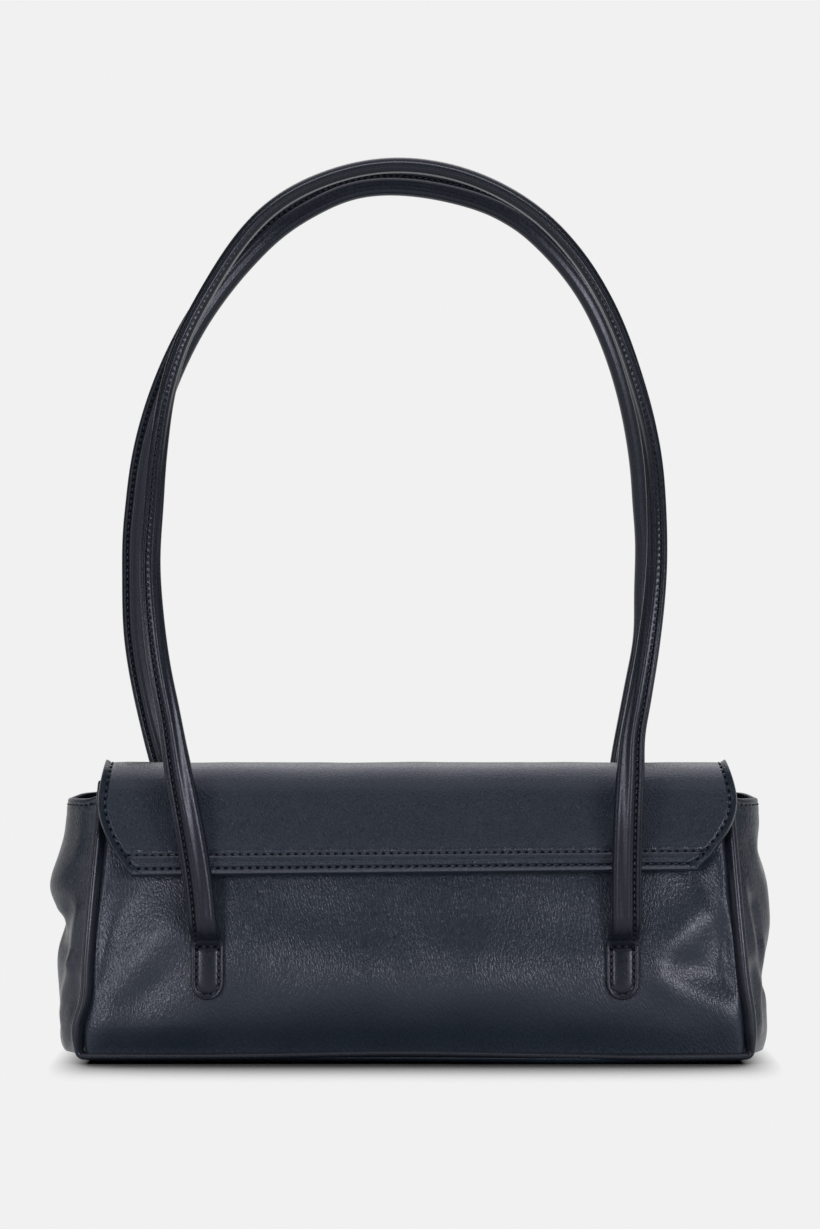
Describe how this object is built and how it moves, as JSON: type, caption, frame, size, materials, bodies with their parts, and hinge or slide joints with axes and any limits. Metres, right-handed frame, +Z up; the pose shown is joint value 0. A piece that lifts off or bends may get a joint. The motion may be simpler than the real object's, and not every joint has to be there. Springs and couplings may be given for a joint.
{
  "type": "shoulder bag",
  "caption": "Soft baguette shoulder bag with a magnetic flap, side gussets and two standing rolled shoulder handles.",
  "frame": {"origin": "on the ground, under the middle of the bag's bounding box", "axes": "+Z up, the front with the flap faces -Y, +X to the right seen from the front"},
  "size_m": [0.3134, 0.1074, 0.3932],
  "materials": {
    "faux_leather": "fine pebble grain, semi-gloss",
    "handle_leather": "smooth fine grain, semi-gloss",
    "piping": "semi-gloss",
    "lining": "plain woven cloth",
    "stiffener": "felted backing",
    "base_board": "matt fibre board",
    "handle_core": "twisted cotton cord",
    "snap_metal": "satin nickel plate"
  },
  "bodies": {
    "bag_body": {"front_panel": "faux_leather", "rear_panel": "faux_leather", "left_gusset": "faux_leather", "right_gusset": "faux_leather", "base_panel": "faux_leather", "base_board": "base_board", "front_lining": "lining", "rear_lining": "lining", "left_gusset_lining": "lining", "right_gusset_lining": "lining", "base_lining": "lining", "front_mouth_facing": "faux_leather", "rear_mouth_facing": "faux_leather", "left_mouth_facing": "faux_leather", "right_mouth_facing": "faux_leather", "front_piping": "piping", "rear_piping": "piping", "flap_rear_strip": "faux_leather", "snap_socket": "snap_metal", "snap_socket_washer": "snap_metal", "front_left_handle_tab": "handle_leather", "front_right_handle_tab": "handle_leather", "rear_left_handle_tab": "handle_leather", "rear_right_handle_tab": "handle_leather", "front_left_backing_patch": "stiffener", "front_right_backing_patch": "stiffener", "rear_left_backing_patch": "stiffener", "rear_right_backing_patch": "stiffener"},
    "flap": {"flap_outer": "faux_leather", "flap_stiffener": "stiffener", "flap_lining": "lining", "snap_stud": "snap_metal", "snap_stud_washer": "snap_metal"},
    "front_handle": {"front_handle_cover": "handle_leather", "front_handle_core": "handle_core"},
    "rear_handle": {"rear_handle_cover": "handle_leather", "rear_handle_core": "handle_core"}
  },
  "joints": [
    {"name": "flap_hinge", "type": "hinge", "parent": "bag_body", "child": "flap", "pos_m": [0, 0.0277, 0.1305], "axis": [-1, 0, 0], "range_deg": [0, 105]},
    {"name": "front_handle_swing", "type": "hinge", "parent": "bag_body", "child": "front_handle", "pos_m": [0, -0.04212, 0.05115], "axis": [1, 0, 0], "range_deg": [0, 94.5]},
    {"name": "rear_handle_swing", "type": "hinge", "parent": "bag_body", "child": "rear_handle", "pos_m": [0, 0.04212, 0.05115], "axis": [-1, 0, 0], "range_deg": [0, 100]}
  ],
  "couplings": [
    {"joint": "front_handle_swing", "follows": "flap_hinge", "ratio": 0.9}
  ]
}
